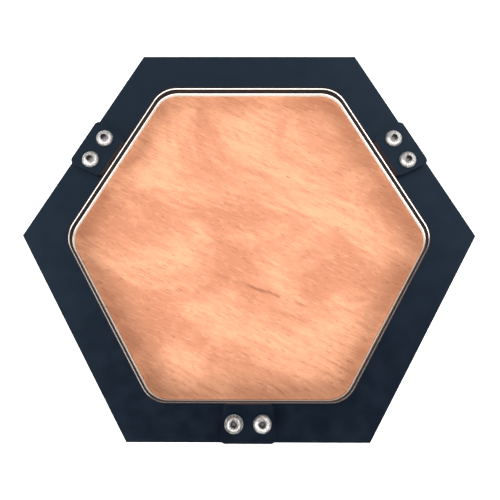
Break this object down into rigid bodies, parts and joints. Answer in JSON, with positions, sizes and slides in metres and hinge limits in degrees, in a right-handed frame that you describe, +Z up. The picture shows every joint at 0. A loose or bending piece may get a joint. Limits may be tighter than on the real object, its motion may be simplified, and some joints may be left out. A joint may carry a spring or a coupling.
{
  "type": "folding dice tray",
  "caption": "Hexagonal dice tray with a wooden floor in a dark frame of segments joined by screwed link plates, which swing open at the front.",
  "frame": {"origin": "on the table, under the middle of the hexagon", "axes": "+X to the right across two corners, +Y to the back side, +Z up out of the tray"},
  "size_m": [0.25, 0.2166, 0.0289],
  "materials": {
    "frame_sheet": "satin faces, polished edges",
    "wood": "fine sanded plywood",
    "steel": "stainless, turned",
    "washer": "matte",
    "magnet": "plated",
    "foot_rubber": "matte"
  },
  "bodies": {
    "back_segment": {"back_rim": "frame_sheet", "back_wall": "frame_sheet", "back_liner": "frame_sheet", "back_ledge": "frame_sheet", "back_feet": "foot_rubber"},
    "right_segment": {"right_rim": "frame_sheet", "right_wall": "frame_sheet", "right_liner": "frame_sheet", "right_ledge": "frame_sheet", "right_feet": "foot_rubber"},
    "left_segment": {"left_rim": "frame_sheet", "left_wall": "frame_sheet", "left_liner": "frame_sheet", "left_ledge": "frame_sheet", "left_feet": "foot_rubber", "left_catch_magnet": "magnet"},
    "right_link": {"right_link_top_plate": "frame_sheet", "right_link_bottom_plate": "frame_sheet", "right_link_screws": "steel", "right_link_barrel_nuts": "steel", "right_link_washers": "washer"},
    "left_link": {"left_link_top_plate": "frame_sheet", "left_link_bottom_plate": "frame_sheet", "left_link_screws": "steel", "left_link_barrel_nuts": "steel", "left_link_washers": "washer"},
    "front_link": {"front_link_top_plate": "frame_sheet", "front_link_bottom_plate": "frame_sheet", "front_link_screws": "steel", "front_link_barrel_nuts": "steel", "front_link_washers": "washer", "front_link_catch_screw": "steel"},
    "floor": {"floor_board": "wood"}
  },
  "joints": [
    {"name": "right_link_swing", "type": "hinge", "parent": "back_segment", "child": "right_link", "pos_m": [0.08177, 0.05558, 0.015], "axis": [0, 0, 1], "range_deg": [0, 45]},
    {"name": "right_segment_swing", "type": "hinge", "parent": "right_link", "child": "right_segment", "pos_m": [0.08902, 0.04302, 0.015], "axis": [0, 0, 1], "range_deg": [0, 45]},
    {"name": "left_link_swing", "type": "hinge", "parent": "back_segment", "child": "left_link", "pos_m": [-0.08177, 0.05558, 0.015], "axis": [0, 0, -1], "range_deg": [0, 45]},
    {"name": "left_segment_swing", "type": "hinge", "parent": "left_link", "child": "left_segment", "pos_m": [-0.08902, 0.04302, 0.015], "axis": [0, 0, -1], "range_deg": [0, 45]},
    {"name": "front_link_swing", "type": "hinge", "parent": "right_segment", "child": "front_link", "pos_m": [0.00725, -0.0986, 0.015], "axis": [0, 0, 1], "range_deg": [0, 180]},
    {"name": "floor_lift", "type": "slide", "parent": "back_segment", "child": "floor", "axis": [0, 0, 1], "range_m": [0, 0.04]}
  ],
  "couplings": [
    {"joint": "right_segment_swing", "follows": "right_link_swing", "ratio": 1},
    {"joint": "left_segment_swing", "follows": "left_link_swing", "ratio": 1}
  ]
}
